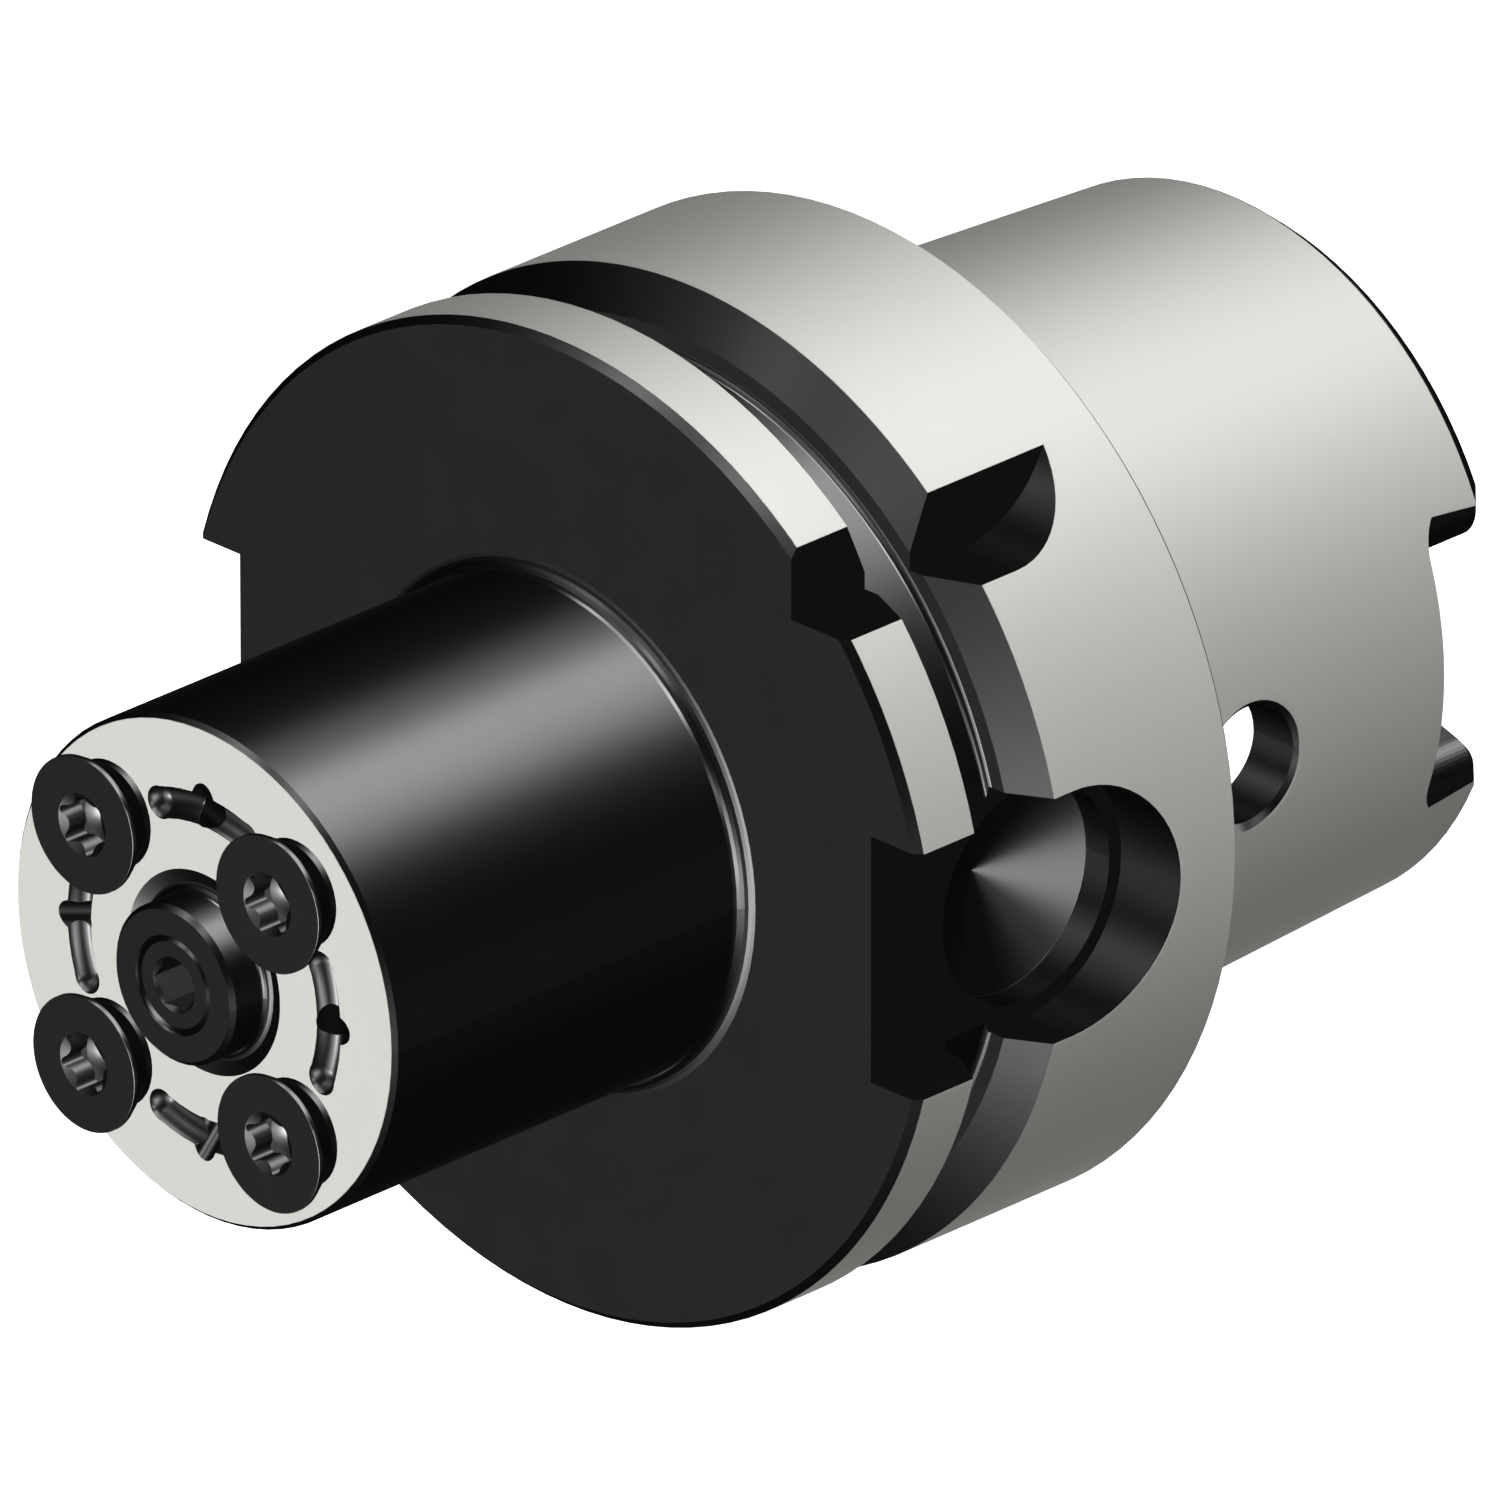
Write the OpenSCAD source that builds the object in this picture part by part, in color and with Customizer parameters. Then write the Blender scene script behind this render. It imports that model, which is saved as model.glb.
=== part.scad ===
// Hollow taper adapter for machine spindles, with a four-screw face coupling for a tool head.
// The origin lies on the tool axis in the flange contact face. +Z points to the tool head,
// -Z into the spindle. X runs through the two drive slots. All sizes are in millimetres.

/* [Taper shank] */
// Diameter of the taper at its gauge plane
taper_d = 48.01; // [47.6:0.01:48.4]
// Distance of the gauge plane behind the contact face
gauge_depth = 6.3; // [5:0.1:8]
// Length over which the diameter shrinks by one millimetre
taper_run = 9.98; // [9.5:0.02:10.5]
// Length of the shank behind the contact face
shank_len = 32; // [30:0.5:34]
// Radial size of the chamfer at the shank end
end_chamfer_r = 0.75; // [0.3:0.05:1.2]
// Axial size of the chamfer at the shank end
end_chamfer_l = 1.05; // [0.5:0.05:1.5]
// Depth of the undercut where the taper meets the contact face
relief_depth = 0.35; // [0.2:0.05:0.6]
// Width of the undercut along the taper and along the face
relief_w = 1.6; // [1:0.1:2]

/* [Clamping cavity] */
// Bore diameter at the open end
mouth_d = 34; // [33:0.5:35]
// Lead chamfer of the open end
mouth_chamfer = 1; // [0.5:0.1:1.5]
// Diameter of the chamber behind the clamping shoulder
chamber_d = 40; // [39:0.5:40.5]
// Diameter at which the clamping shoulder's place is taken
shoulder_d = 37; // [36:0.5:38]
// Depth of the clamping shoulder behind the contact face
shoulder_depth = 18.13; // [17:0.01:19.5]
// Half angle of the clamping shoulder cone
shoulder_angle = 30; // [25:1:35]
// Depth of the cavity floor behind the contact face
floor_depth = 4; // [3:0.5:4.5]
// Fillet between chamber wall and floor
floor_fillet = 1.5; // [0.5:0.1:2.5]

/* [Access holes] */
// Diameter of the two radial key holes
access_d = 7.5; // [6.5:0.1:8]
// Distance of the key holes behind the contact face
access_depth = 9.05; // [8.6:0.05:9.6]
// Chamfer round the key holes
access_chamfer = 0.5; // [0.2:0.1:0.8]

/* [Drive slots] */
// Slot width, taken half-way along the flanks
drive_w = 12.54; // [12:0.02:13]
// Distance from the tool axis at which the slot width is taken
drive_w_x = 18; // [17.5:0.1:18.5]
// Depth of the slots from the shank end
drive_depth = 6; // [5.5:0.1:7]
// Angle of each flank to the slot's middle plane
drive_flank_angle = 17.5; // [12:0.5:22]
// Distance of the flat on each side of the slot from the tool axis
drive_flat_x = 20.8; // [20.4:0.1:21]
// Rounding between flank and flat
drive_edge_r = 2.2; // [1.9:0.1:2.6]
// Width of the cutter's path over the flats
drive_cut_w = 20.7; // [20:0.1:22]
// Radius that the cutter leaves at both ends of the slot floor
drive_corner_r = 3; // [2:0.1:3.3]
// Chamfer round the slot's mouth at the shank end
drive_lead = 1.1; // [0.8:0.1:1.2]

/* [Flange] */
// Outer diameter of the flange
flange_d = 63; // [62:0.1:64]
// Width of the flange
flange_w = 26; // [25.5:0.1:27]
// Chamfer on both flange edges
flange_chamfer = 0.5; // [0.3:0.1:0.8]
// Distance of the gripper groove's middle from the contact face
groove_z = 18; // [17.6:0.1:18.4]
// Width of the groove's mouth
groove_mouth_w = 6.756; // [6.6:0.004:7]
// Width of the straight bottom of the groove
groove_floor_w = 3.75; // [3.4:0.05:4]
// Slope of the groove walls, from a plane across the axis
groove_slope = 30; // [28:1:33]
// Diameter of the groove floor
groove_floor_d = 55; // [54.5:0.1:56]
// Fillet in the groove corners
groove_fillet = 0.4; // [0.2:0.1:0.6]

/* [Flange slots] */
// Distance of both slot floors from the tool axis
side_floor_x = 26.5; // [26:0.1:27.5]
// Distance of the slots' closed ends from the contact face
side_end_z = 5; // [4:0.1:6]
// Width of the slot on the +X side
side_w_front = 16; // [15:0.1:17]
// Width of the slot on the -X side
side_w_back = 18; // [17:0.1:19]
// Diameter of the blind hole in the +X slot
chip_d = 14; // [12:0.1:14.4]
// Depth of the blind hole's straight wall
chip_depth = 2; // [1.5:0.1:3]
// Point angle of the blind hole
chip_point = 140; // [118:1:150]

/* [Orientation notch] */
// Distance of both notch walls from the tool axis
notch_wall = 19.87; // [19.4:0.01:20.4]
// Radius of the notch's run-out
notch_cutter_r = 7.3; // [6:0.1:8]
// Distance of the run-out's centre from the contact face
notch_end_z = 11.7; // [11:0.1:13]

/* [Barrel] */
// Diameter of the barrel
barrel_d = 32; // [31.4:0.1:33]
// Distance of the tool face from the contact face
face_z = 55; // [50:0.5:65]
// Fillet between barrel and flange
barrel_fillet = 0.9; // [0.5:0.1:1.5]
// Chamfer on the tool face edge
barrel_chamfer = 0.3; // [0.2:0.1:0.6]

/* [Pilot boss] */
// Diameter of the pilot boss
pilot_d = 10.1; // [9.8:0.05:10.4]
// Height of the pilot boss above the tool face
pilot_h = 2.55; // [2:0.05:3.5]
// Chamfer on the pilot boss
pilot_chamfer = 0.3; // [0.2:0.05:0.5]
// Diameter of the dished ring round the boss
dish_d = 12.8; // [12.4:0.1:13.2]
// Depth of the dished ring
dish_depth = 0.3; // [0.2:0.05:0.5]
// Fillet between dish and boss
dish_fillet = 0.5; // [0.3:0.05:0.6]

/* [Clamp screws] */
// Pitch circle diameter of the clamp screws
clamp_pcd = 22; // [21.6:0.1:22.4]
// Nominal thread diameter
clamp_thread_d = 6; // [5:0.5:6]
// Neck diameter under the head
clamp_neck_d = 6.7; // [6.4:0.1:6.8]
// Head diameter
clamp_head_d = 8.6; // [8.2:0.1:9]
// Height of the head's face above the tool face
clamp_head_h = 2.35; // [2.2:0.05:3]
// Height of the straight rim of the head
clamp_rim_h = 0.3; // [0.2:0.05:0.4]
// Included angle of the cone under the head
clamp_cone = 60; // [56:2:70]
// Depth that the neck reaches below the tool face
clamp_neck_depth = 3; // [2:0.5:4]
// Depth that the screw reaches below the tool face
clamp_screw_depth = 14; // [10:0.5:16]
// Depth of the threaded hole below the tool face
clamp_hole_depth = 17; // [17:0.5:19]

/* [Screw sockets] */
// Diameter across the lobes of the six-lobe socket
lobe_outer_d = 3.92; // [3.6:0.02:4]
// Diameter between the ridges that part the lobes
lobe_inner_d = 2.86; // [2.7:0.02:3]
// Radius of each lobe's round end
lobe_end_r = 0.33; // [0.28:0.01:0.38]
// Depth of the six-lobe socket
lobe_depth = 1.65; // [1.4:0.05:2]
// Point angle of the pilot drill below the socket
lobe_point = 120; // [110:5:140]
// Angle between a lobe and the line from the tool axis to its screw
lobe_turn = 30; // [0:5:30]
// Width across flats of the plug's hexagon socket
plug_key_w = 3; // [2.5:0.5:3.5]
// Depth of the plug's hexagon socket
plug_key_depth = 3; // [2:0.5:4]

/* [Plug screw] */
// Nominal thread diameter of the plug screw
plug_d = 6; // [5:0.5:6]
// Length of the plug screw
plug_len = 6; // [5:0.5:7]
// Distance of the plug below the boss face
plug_sink = 0.1; // [0.05:0.05:0.5]
// Chamfer on the mouth of the plug's hole
plug_mouth = 0.1; // [0.05:0.05:0.3]

/* [Coolant passages] */
// Diameter of the central coolant bore
coolant_d = 8; // [7:0.5:9]
// Distance of the coolant bore's end below the tool face
coolant_stop = 5; // [4.5:0.5:5.5]
// Radius of the centre line of the four face grooves
kidney_r = 10.5; // [10:0.1:11]
// Width of the face grooves, cut with a ball cutter
kidney_w = 2; // [1.6:0.1:2.2]
// How much wider the cutter's plunge leaves each groove end
kidney_end_play = 0.1; // [0.08:0.01:0.14]
// Angle between the two end centres of one groove
kidney_angle = 40; // [30:1:40]
// Diameter of the slanting feed hole of each groove
feed_d = 2; // [1.4:0.1:2]
// Slant of the feed holes from the tool axis
feed_slant = 45; // [40:1:50]
// Radius at which a feed hole's axis meets the tool face
feed_r = 10.85; // [10.6:0.05:11]

/* [Coolant tube] */
// Diameter of the coolant tube's sealing end
tube_d = 12; // [11:0.1:12.4]
// Diameter of the tube between sealing end and collar
tube_waist_d = 11; // [10:0.1:11]
// Bore of the tube
tube_bore_d = 8; // [7:0.5:8.5]
// Overall length of the tube
tube_len = 36.5; // [34:0.5:38]
// Length of the sealing end
tube_end_len = 10; // [8:0.5:14]
// Diameter of the tube's collar
collar_d = 15.8; // [15:0.1:16]
// Length of the spigot in front of the collar
spigot_len = 3.7; // [3:0.1:5]
// Thickness of the collar
collar_w = 2; // [1.5:0.1:2.5]
// Cord diameter of the two sealing rings
ring_cord = 1.3; // [1.1:0.1:1.4]

/* [Coolant nut] */
// Nominal thread diameter of the nut
nut_d = 18; // [17.8:0.1:18.4]
// Length of the nut
nut_len = 12.9; // [12:0.1:14]
// Distance that the nut stands out of the cavity floor
nut_stand = 1; // [0.5:0.1:2]
// Thickness of the nut's end wall
nut_wall = 7.6; // [6:0.1:8]
// Width of the nut's key slots
nut_slot_w = 2.5; // [2:0.1:3]
// Depth of the nut's key slots
nut_slot_depth = 2.2; // [1.5:0.1:3]

/* [Fits] */
// Radial clearance of threads and necks in their holes
thread_gap = 0.04; // [0.02:0.01:0.08]
// Axial clearance between loose faces
face_gap = 0.1; // [0.05:0.05:0.3]
// Clearance of the floating coolant tube
float_gap = 0.35; // [0.3:0.05:0.5]

/* [Hidden] */
$fn = 96;
// Overlap that lets a cut run past a surface
past = 1;
arc_steps = 6;
clamp_count = 4;
groove_count = 4;
lobe_count = 6;
chip_z = side_end_z + side_w_front / 2;
chamber_r = chamber_d / 2;
mouth_r = mouth_d / 2;
flange_r = flange_d / 2;
barrel_r = barrel_d / 2;
pilot_r = pilot_d / 2;
pilot_top = face_z + pilot_h;
clamp_first_angle = 45;
nut_rear = -floor_depth - nut_stand;
nut_front = nut_rear + nut_len;
seat_z = nut_front + face_gap;
nut_shoulder = nut_rear + nut_wall;
ring_r = ring_cord / 2;
rear_ring_z = nut_shoulder + float_gap + ring_r;
collar_rear = rear_ring_z + ring_r + face_gap / 2;
collar_front = collar_rear + collar_w;
front_ring_z = collar_front + ring_r + face_gap / 2;
tube_front = collar_front + spigot_len;
tube_tip = tube_front - tube_len;
spigot_r = tube_waist_d / 2;
ring_centre_r = spigot_r + ring_r + face_gap;
coolant_top = face_z - coolant_stop;

// Radius of the taper at height z, which is negative on the shank
function taper_r(z) = taper_d / 2 + (z + gauge_depth) / (2 * taper_run);

// Points on an arc from angle a0 to a1 about a centre
function arc(centre, r, a0, a1, steps = arc_steps) =
    [for (i = [0 : steps]) let (a = a0 + (a1 - a0) * i / steps)
        centre + r * [cos(a), sin(a)]];

// Half outline of the body, from the shank end round to the pilot boss
function shank_points() = [
    [0, -shank_len],
    [taper_r(-shank_len) - end_chamfer_r, -shank_len],
    [taper_r(-shank_len + end_chamfer_l), -shank_len + end_chamfer_l],
    [taper_r(-relief_w), -relief_w],
    [taper_r(-relief_w) - relief_depth, -relief_w + relief_depth],
    [taper_r(0) - relief_depth, relief_depth],
    [taper_r(0) + relief_w - relief_depth, relief_depth],
    [taper_r(0) + relief_w, 0]
];

function groove_points() =
    let (floor_r = groove_floor_d / 2,
         knee_r = flange_r - (groove_mouth_w - groove_floor_w) / 2 / tan(groove_slope),
         near = groove_z - groove_floor_w / 2,
         far = groove_z + groove_floor_w / 2,
         f = groove_fillet)
    concat(
        [[flange_r, groove_z - groove_mouth_w / 2], [knee_r, near]],
        arc([floor_r + f, near + f], f, 270, 180),
        arc([floor_r + f, far - f], f, 180, 90),
        [[knee_r, far], [flange_r, groove_z + groove_mouth_w / 2]]
    );

function flange_points() = concat(
    [[flange_r - flange_chamfer, 0], [flange_r, flange_chamfer]],
    groove_points(),
    [[flange_r, flange_w - flange_chamfer], [flange_r - flange_chamfer, flange_w]]
);

function barrel_points() = concat(
    arc([barrel_r + barrel_fillet, flange_w + barrel_fillet], barrel_fillet, 270, 180),
    [[barrel_r, face_z - barrel_chamfer], [barrel_r - barrel_chamfer, face_z]]
);

function pilot_points() =
    let (dish_z = face_z - dish_depth)
    concat(
        [[dish_d / 2, face_z]],
        arc([pilot_r + dish_fillet, dish_z + dish_fillet], dish_fillet, 270, 180),
        [[pilot_r, pilot_top - pilot_chamfer], [pilot_r - pilot_chamfer, pilot_top], [0, pilot_top]]
    );

// Space for the spindle's clamping claws, open at the shank end
module clamping_cavity() {
    lead = mouth_chamfer + past;
    rise = 1 / tan(shoulder_angle);
    shoulder_r = shoulder_d / 2;
    rotate_extrude()
        polygon(concat(
            [[0, -shank_len - past],
             [mouth_r + lead, -shank_len - past],
             [mouth_r, -shank_len + mouth_chamfer],
             [mouth_r, -shoulder_depth - (shoulder_r - mouth_r) * rise],
             [chamber_r, -shoulder_depth + (chamber_r - shoulder_r) * rise]],
            arc([chamber_r - floor_fillet, -floor_depth - floor_fillet], floor_fillet, 0, 90),
            [[0, -floor_depth]]
        ));
}

// Threaded seat of the coolant nut, spigot seat and central bore up to the plug
module coolant_passages() {
    nut_bore_r = nut_d / 2 + thread_gap;
    plug_bore_r = plug_d / 2 + thread_gap;
    translate([0, 0, -floor_depth - past])
        cylinder(r = nut_bore_r, h = seat_z + floor_depth + past);
    translate([0, 0, seat_z - past])
        cylinder(r = spigot_r + float_gap, h = tube_front + 2 * float_gap - seat_z + past);
    translate([0, 0, seat_z])
        cylinder(d = coolant_d, h = coolant_top - seat_z);
    translate([0, 0, coolant_top - past])
        cylinder(r = plug_bore_r, h = pilot_h + coolant_stop + 2 * past);
    translate([0, 0, pilot_top - plug_mouth])
        cylinder(r1 = plug_bore_r, r2 = plug_bore_r + past, h = past);
    for (i = [0 : groove_count - 1])
        rotate([0, 0, 360 / groove_count * i])
            feed_hole();
}

// One slanting hole from a face groove down to the central bore
module feed_hole() {
    inside = coolant_d / 4;
    run = (feed_r - inside) / sin(feed_slant);
    translate([feed_r, 0, face_z])
        rotate([0, -180 + feed_slant, 0])
            translate([0, 0, -2 * past])
                cylinder(d = feed_d, h = run + 2 * past);
}

// Sweep of the ball cutter for the kidney grooves that carry coolant across the tool face
module groove_sweeps() {
    for (i = [0 : groove_count - 1])
        translate([0, 0, face_z])
            rotate([0, 0, 360 / groove_count * i - kidney_angle / 2])
                rotate_extrude(angle = kidney_angle)
                    translate([kidney_r, 0])
                        circle(d = kidney_w, $fn = 48);
}

// Round ends that the ball cutter leaves on each groove
module groove_ends() {
    for (i = [0 : groove_count - 1])
        for (side = [-1, 1])
            rotate([0, 0, 360 / groove_count * i + side * kidney_angle / 2])
                translate([kidney_r, 0, face_z])
                    sphere(d = kidney_w + kidney_end_play, $fn = 48);
}

module at_clamp_screw(i) {
    rotate([0, 0, clamp_first_angle + 360 / clamp_count * i])
        translate([clamp_pcd / 2, 0, face_z])
            children();
}

module clamp_screw_hole() {
    translate([0, 0, -clamp_neck_depth - face_gap])
        cylinder(r = clamp_neck_d / 2 + thread_gap, h = clamp_neck_depth + face_gap + past);
    translate([0, 0, -clamp_hole_depth])
        cylinder(r = clamp_thread_d / 2 + thread_gap, h = clamp_hole_depth);
}

// Slot in the flange rim, open to the tool side, with a round closed end
module flange_slot(w) {
    depth = flange_r - side_floor_x + past;
    end_z = side_end_z + w / 2;
    translate([side_floor_x, 0, end_z])
        rotate([0, 90, 0])
            cylinder(d = w, h = depth);
    translate([side_floor_x, -w / 2, end_z])
        cube([depth, w, flange_w - end_z + past]);
}

// Blind hole with a drill point, in the floor of the +X slot
module chip_hole() {
    point = chip_d / 2 / tan(chip_point / 2);
    translate([side_floor_x - chip_depth - point, 0, chip_z])
        rotate([0, 90, 0]) {
            cylinder(r1 = 0, r2 = chip_d / 2, h = point);
            translate([0, 0, point])
                cylinder(d = chip_d, h = chip_depth + past);
        }
}

// Right-angled notch that shows the tool changer which way the tool points
module orientation_notch() {
    reach = flange_r - notch_wall + past;
    translate([notch_wall, notch_wall + notch_cutter_r, notch_end_z])
        rotate([0, 90, 0])
            cylinder(r = notch_cutter_r, h = reach);
    translate([notch_wall, notch_wall, notch_end_z])
        cube([reach, reach, flange_w - notch_end_z + past]);
}

// Outline of a drive slot: slanting flanks, rounded edges, and flats that run out of the taper.
// A positive lead moves it into the metal.
function drive_outline(lead) =
    let (a = drive_flank_angle,
         into_bore = 4,
         inner_x = mouth_r - into_bore,
         inner_y = drive_w / 2 + (inner_x - drive_w_x) * tan(a) + lead / cos(a),
         edge_x = drive_flat_x - drive_edge_r,
         edge_y = drive_w / 2 + (drive_edge_r + (edge_x - drive_w_x) * sin(a)) / cos(a),
         side_y = drive_cut_w / 2 + lead,
         half = concat(
             [[inner_x, inner_y]],
             arc([edge_x, edge_y], drive_edge_r - lead, a - 90, 0, 2 * arc_steps),
             [[drive_flat_x - lead, side_y], [taper_r(0) + past, side_y]]
         ),
         last = len(half) - 1)
    concat(half, [for (i = [0 : last]) [half[last - i].x, -half[last - i].y]]);

// The slot's outline, cut from the shank end to the rounded floor that the cutter leaves
module drive_slot() {
    floor_z = -shank_len + drive_depth;
    below = drive_depth + past;
    straight = below - drive_corner_r;
    corner_y = drive_cut_w / 2 - drive_corner_r;
    intersection() {
        translate([0, 0, floor_z - below])
            linear_extrude(height = below)
                polygon(drive_outline(0));
        translate([0, 0, floor_z - below])
            rotate([90, 0, 90])
                linear_extrude(height = taper_r(0) + past) {
                    translate([-drive_cut_w / 2, 0])
                        square([drive_cut_w, straight]);
                    translate([-corner_y, 0])
                        square([2 * corner_y, below]);
                    for (side = [-1, 1])
                        translate([side * corner_y, straight])
                            circle(r = drive_corner_r);
                }
    }
}

// Chamfer round the slot's mouth: the same outline twice, once small and high, once wide and low
module drive_mouth() {
    over = 0.5;
    small = drive_outline(-over);
    wide = drive_outline(drive_lead + over);
    top = -shank_len + drive_lead + over;
    bottom = -shank_len - over;
    n = len(small);
    polyhedron(
        points = concat([for (q = small) [q.x, q.y, top]], [for (q = wide) [q.x, q.y, bottom]]),
        faces = concat(
            [[for (i = [0 : n - 1]) i], [for (i = [0 : n - 1]) 2 * n - 1 - i]],
            [for (i = [0 : n - 1]) let (j = (i + 1) % n) [j, i, i + n, j + n]]
        )
    );
}

// Key hole through the shank wall. Its two chamfer cones lean with the round wall, one each way,
// so that the chamfer keeps its width all round.
module access_hole() {
    wall_r = taper_r(-access_depth);
    rim_r = access_d / 2 + access_chamfer;
    lean = asin(rim_r / wall_r) / 2;
    translate([mouth_r - past, 0, -access_depth])
        rotate([0, 90, 0])
            cylinder(d = access_d, h = wall_r - mouth_r + 2 * past);
    for (side = [-1, 1])
        translate([wall_r, 0, -access_depth])
            rotate([0, 90, side * lean])
                translate([0, 0, -2 * access_chamfer])
                    cylinder(r1 = rim_r - 2 * access_chamfer, r2 = rim_r + access_chamfer,
                             h = 3 * access_chamfer);
}

module adapter_body() {
    color("silver")
        difference() {
            rotate_extrude($fn = 144)
                polygon(concat(shank_points(), flange_points(), barrel_points(), pilot_points()));
            clamping_cavity();
            coolant_passages();
            groove_sweeps();
            groove_ends();
            for (i = [0 : clamp_count - 1])
                at_clamp_screw(i)
                    clamp_screw_hole();
            flange_slot(side_w_front);
            rotate([0, 0, 180])
                flange_slot(side_w_back);
            chip_hole();
            orientation_notch();
            for (turn = [0, 180])
                rotate([0, 0, turn]) {
                    drive_slot();
                    drive_mouth();
                    access_hole();
                }
        }
}

// Plug that closes the central bore inside the pilot boss
module plug_screw() {
    top = pilot_top - plug_sink;
    edge = 0.3;
    entry_r = plug_key_w / 2 / cos(30) + 0.1;
    color([0.16, 0.16, 0.17])
        difference() {
            translate([0, 0, top - plug_len])
                rotate_extrude()
                    polygon([[0, 0], [plug_d / 2 - 2 * edge, 0], [plug_d / 2, 2 * edge],
                             [plug_d / 2, plug_len - edge], [plug_d / 2 - edge, plug_len],
                             [0, plug_len]]);
            translate([0, 0, top - plug_key_depth])
                cylinder(r = plug_key_w / 2 / cos(30), h = plug_key_depth + past, $fn = 6);
            translate([0, 0, top - entry_r])
                cylinder(r1 = 0, r2 = entry_r + past, h = entry_r + past);
        }
}

// Outline of a six-lobe socket: each lobe's arc runs into the ridge arcs beside it without a corner.
// The two circles touch, so the ridge radius follows from the triangle of their centres and the axis.
module lobe_outline() {
    half_step = 180 / lobe_count;
    lobe_c = lobe_outer_d / 2 - lobe_end_r;
    inner_r = lobe_inner_d / 2;
    ridge_r = (lobe_c ^ 2 + inner_r ^ 2 - 2 * lobe_c * inner_r * cos(half_step) - lobe_end_r ^ 2)
              / (2 * (lobe_end_r - inner_r + lobe_c * cos(half_step)));
    ridge_centre = (inner_r + ridge_r) * [cos(half_step), sin(half_step)];
    side = atan2(ridge_centre.y, ridge_centre.x - lobe_c);
    one_lobe = concat(
        arc([lobe_c, 0], lobe_end_r, -side, side),
        [for (i = [1 : arc_steps - 1])
            let (a = 180 + side + 2 * (half_step - side) * i / arc_steps)
                ridge_centre + ridge_r * [cos(a), sin(a)]]
    );
    polygon([for (k = [0 : lobe_count - 1], q = one_lobe)
        let (turn = 2 * half_step * k)
            [q.x * cos(turn) - q.y * sin(turn), q.x * sin(turn) + q.y * cos(turn)]]);
}

// Screw with a cone under its head that draws the tool head onto the face
module clamp_screw(i) {
    head_r = clamp_head_d / 2;
    socket_z = clamp_head_h - lobe_depth;
    pilot_hole_r = lobe_inner_d / 2;
    point_h = pilot_hole_r / tan(lobe_point / 2);
    neck_r = clamp_neck_d / 2;
    rim_z = clamp_head_h - clamp_rim_h;
    cone_h = (head_r - neck_r) / tan(clamp_cone / 2);
    tip = 0.6;
    thread_r = clamp_thread_d / 2;
    entry_r = lobe_outer_d / 2;
    color([0.16, 0.16, 0.17])
        at_clamp_screw(i)
            difference() {
                rotate_extrude()
                    polygon([
                        [0, -clamp_screw_depth],
                        [thread_r - tip, -clamp_screw_depth],
                        [thread_r, -clamp_screw_depth + tip],
                        [thread_r, -clamp_neck_depth],
                        [neck_r, -clamp_neck_depth],
                        [neck_r, rim_z - cone_h],
                        [head_r, rim_z],
                        [head_r, clamp_head_h],
                        [0, clamp_head_h]
                    ]);
                translate([0, 0, socket_z])
                    rotate([0, 0, lobe_turn])
                        linear_extrude(height = lobe_depth + past)
                            lobe_outline();
                translate([0, 0, socket_z - point_h])
                    cylinder(r1 = 0, r2 = pilot_hole_r, h = point_h);
                translate([0, 0, clamp_head_h - entry_r / 2])
                    cylinder(r1 = 0, r2 = 3 * entry_r, h = 1.5 * entry_r);
            }
}

// Tube that carries coolant from the spindle, free to swing a little on its rings
module coolant_tube() {
    tip_r = tube_d / 2;
    lead = 0.8;
    end_z = tube_tip + tube_end_len;
    step = tip_r - spigot_r;
    color([0.72, 0.72, 0.7])
        difference() {
            rotate_extrude()
                polygon([
                    [0, tube_tip],
                    [tip_r - lead, tube_tip],
                    [tip_r, tube_tip + 2 * lead],
                    [tip_r, end_z],
                    [spigot_r, end_z + 2 * step],
                    [spigot_r, collar_rear],
                    [collar_d / 2, collar_rear],
                    [collar_d / 2, collar_front],
                    [spigot_r, collar_front],
                    [spigot_r, tube_front],
                    [0, tube_front]
                ]);
            translate([0, 0, tube_tip - past])
                cylinder(d = tube_bore_d, h = tube_len + 2 * past);
        }
}

// Slotted nut that holds the tube's collar and rings in the body
module coolant_nut() {
    outer_r = nut_d / 2;
    edge = 0.5;
    color([0.3, 0.3, 0.3])
        difference() {
            translate([0, 0, nut_rear])
                rotate_extrude()
                    polygon([
                        [0, 0],
                        [outer_r - edge, 0],
                        [outer_r, edge],
                        [outer_r, nut_len - edge],
                        [outer_r - edge, nut_len],
                        [0, nut_len]
                    ]);
            translate([0, 0, nut_rear - past])
                cylinder(r = tube_d / 2 + float_gap, h = nut_len + 2 * past);
            translate([0, 0, nut_shoulder])
                cylinder(r = collar_d / 2 + float_gap, h = nut_len);
            for (turn = [0, 90])
                rotate([0, 0, turn])
                    translate([-outer_r - past, -nut_slot_w / 2, nut_rear - past])
                        cube([2 * (outer_r + past), nut_slot_w, nut_slot_depth + past]);
        }
}

module seal_ring(z) {
    color([0.1, 0.1, 0.1])
        translate([0, 0, z])
            rotate_extrude()
                translate([ring_centre_r, 0])
                    circle(r = ring_r, $fn = 32);
}

adapter_body();
plug_screw();
clamp_screw(0);  // clamp_screw_1
clamp_screw(1);  // clamp_screw_2
clamp_screw(2);  // clamp_screw_3
clamp_screw(3);  // clamp_screw_4
coolant_tube();
coolant_nut();
seal_ring(front_ring_z);  // front_seal_ring
seal_ring(rear_ring_z);  // rear_seal_ring
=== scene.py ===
# %% [markdown]
# # A hollow taper adapter, dressed for a studio picture
# The adapter is one hardened steel body with a few loose pieces. The solids come ready from the
# CAD frame, in metres, with the tool axis along +Z. This lesson gives each of them its finish,
# remakes the five screws with threads and smooth sockets, and sets up the floor, light and camera.

# %% Load the frame and keep its box
import math

import bpy
import numpy as np
from mathutils import Matrix, Vector


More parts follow.
